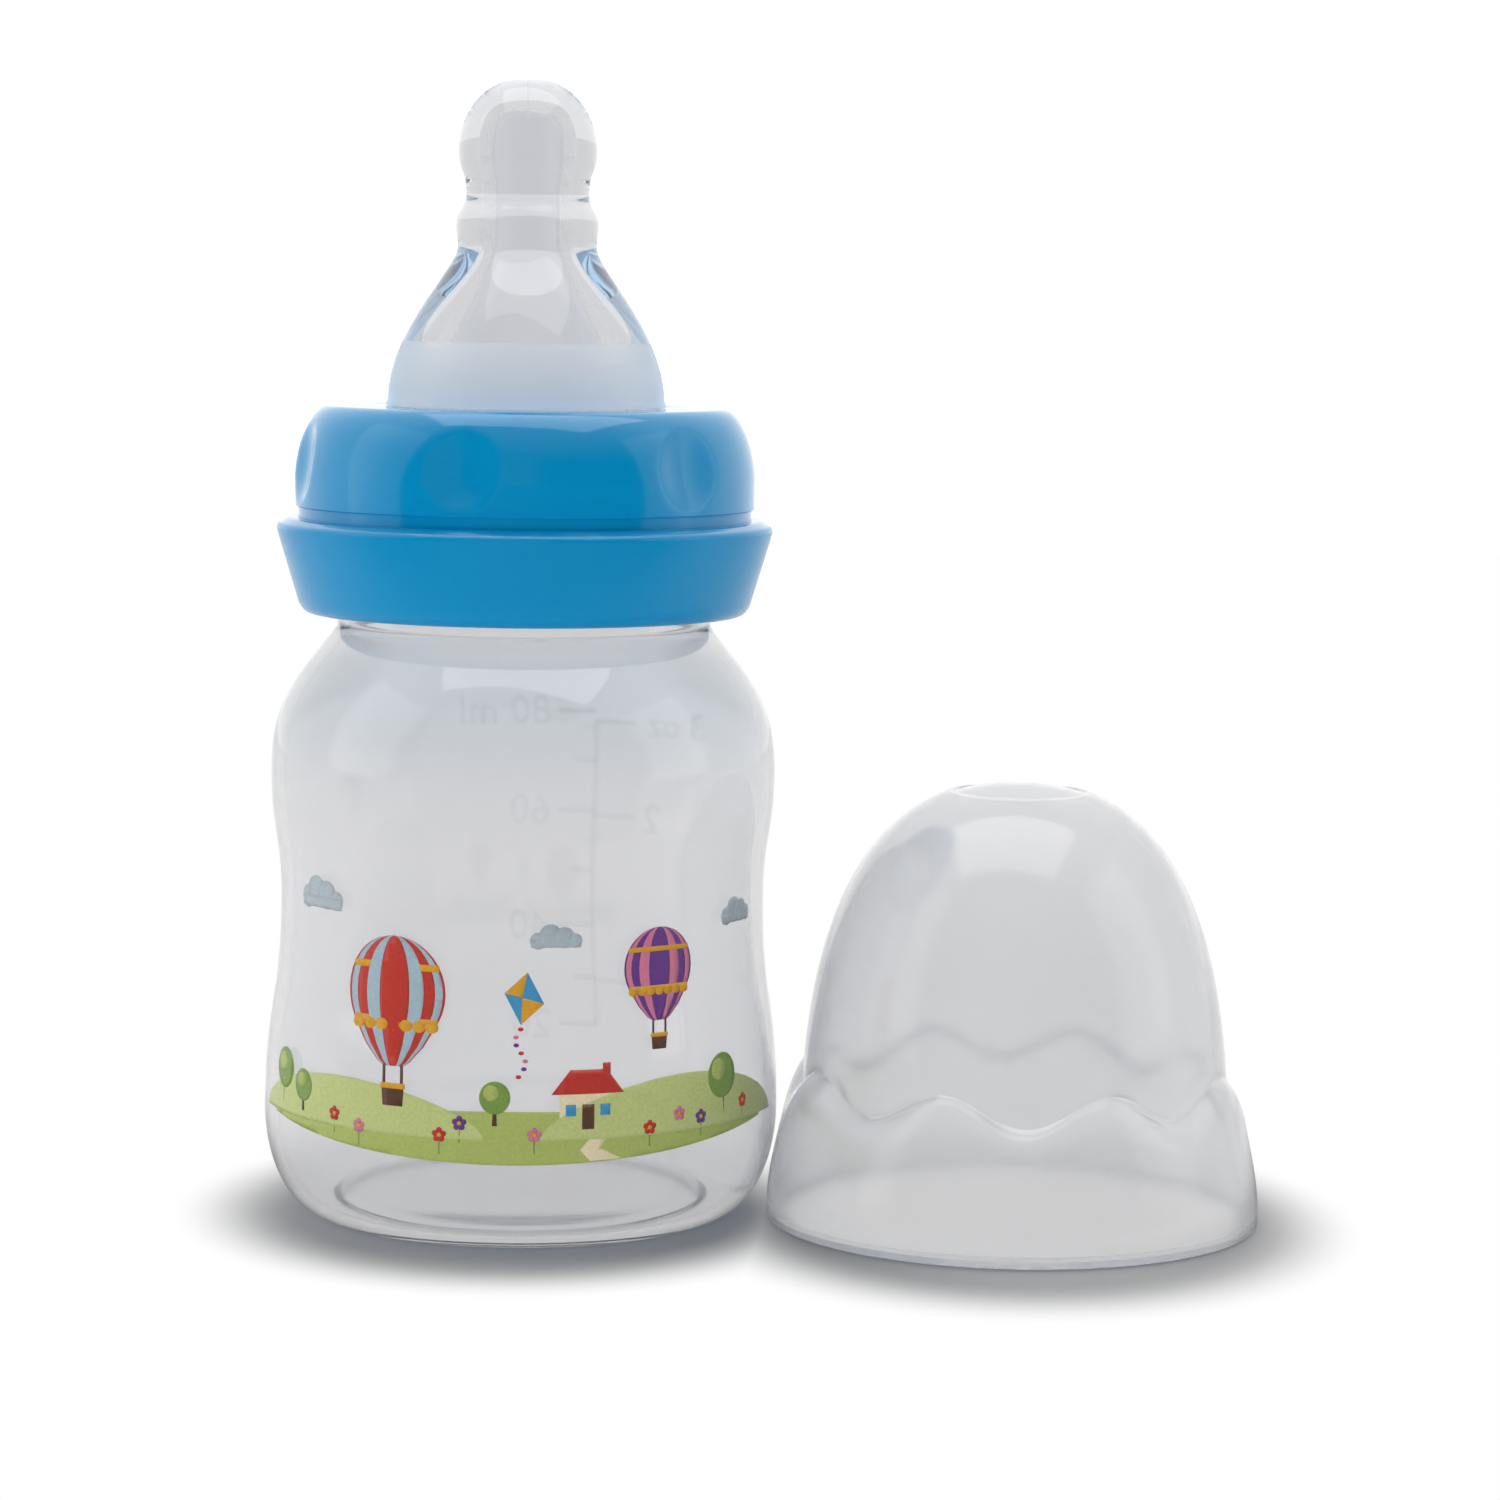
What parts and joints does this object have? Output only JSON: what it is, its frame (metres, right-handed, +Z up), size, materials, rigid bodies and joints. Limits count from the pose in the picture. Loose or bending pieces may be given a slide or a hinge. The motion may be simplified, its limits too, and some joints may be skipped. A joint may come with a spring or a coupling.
{
  "type": "baby bottle",
  "caption": "Small clear feeding bottle with a waisted body and raised scale, screw ring with flared skirt, clamped soft teat, and a wavy-shouldered dome cap standing beside it.",
  "frame": {"origin": "centre of the bottle's foot, on the surface that the bottle stands on", "axes": "+Z up along the bottle's axis, front faces -Y, the loose cap stands towards +X"},
  "size_m": [0.1001, 0.0531, 0.1129],
  "materials": {
    "clear_pp": "clear moulded polypropylene, glossy",
    "silicone": "clear silicone, glossy nipple with a frosted band at its base",
    "blue_pp": "blue moulded polypropylene, glossy grip and satin skirt",
    "milky_pp": "milky translucent moulded polypropylene"
  },
  "bodies": {
    "bottle": {"bottle": "clear_pp"},
    "teat": {"teat": "silicone"},
    "screw_ring": {"screw_ring": "blue_pp"},
    "cap": {"cap": "milky_pp"}
  },
  "joints": [
    {"name": "ring_lift", "type": "slide", "parent": "bottle", "child": "teat", "axis": [0, 0, 1], "range_m": [0, 0.008]},
    {"name": "ring_turn", "type": "hinge", "parent": "teat", "child": "screw_ring", "pos_m": [0, 0, 0.075], "axis": [0, 0, 1], "range_deg": [0, 720]},
    {"name": "cap_lift", "type": "slide", "parent": "bottle", "child": "cap", "axis": [0.1734, -0.0091, 0.9848], "range_m": [0, 0.12]}
  ],
  "couplings": [
    {"joint": "ring_lift", "follows": "ring_turn", "m_per_rad": 0.00063662}
  ]
}
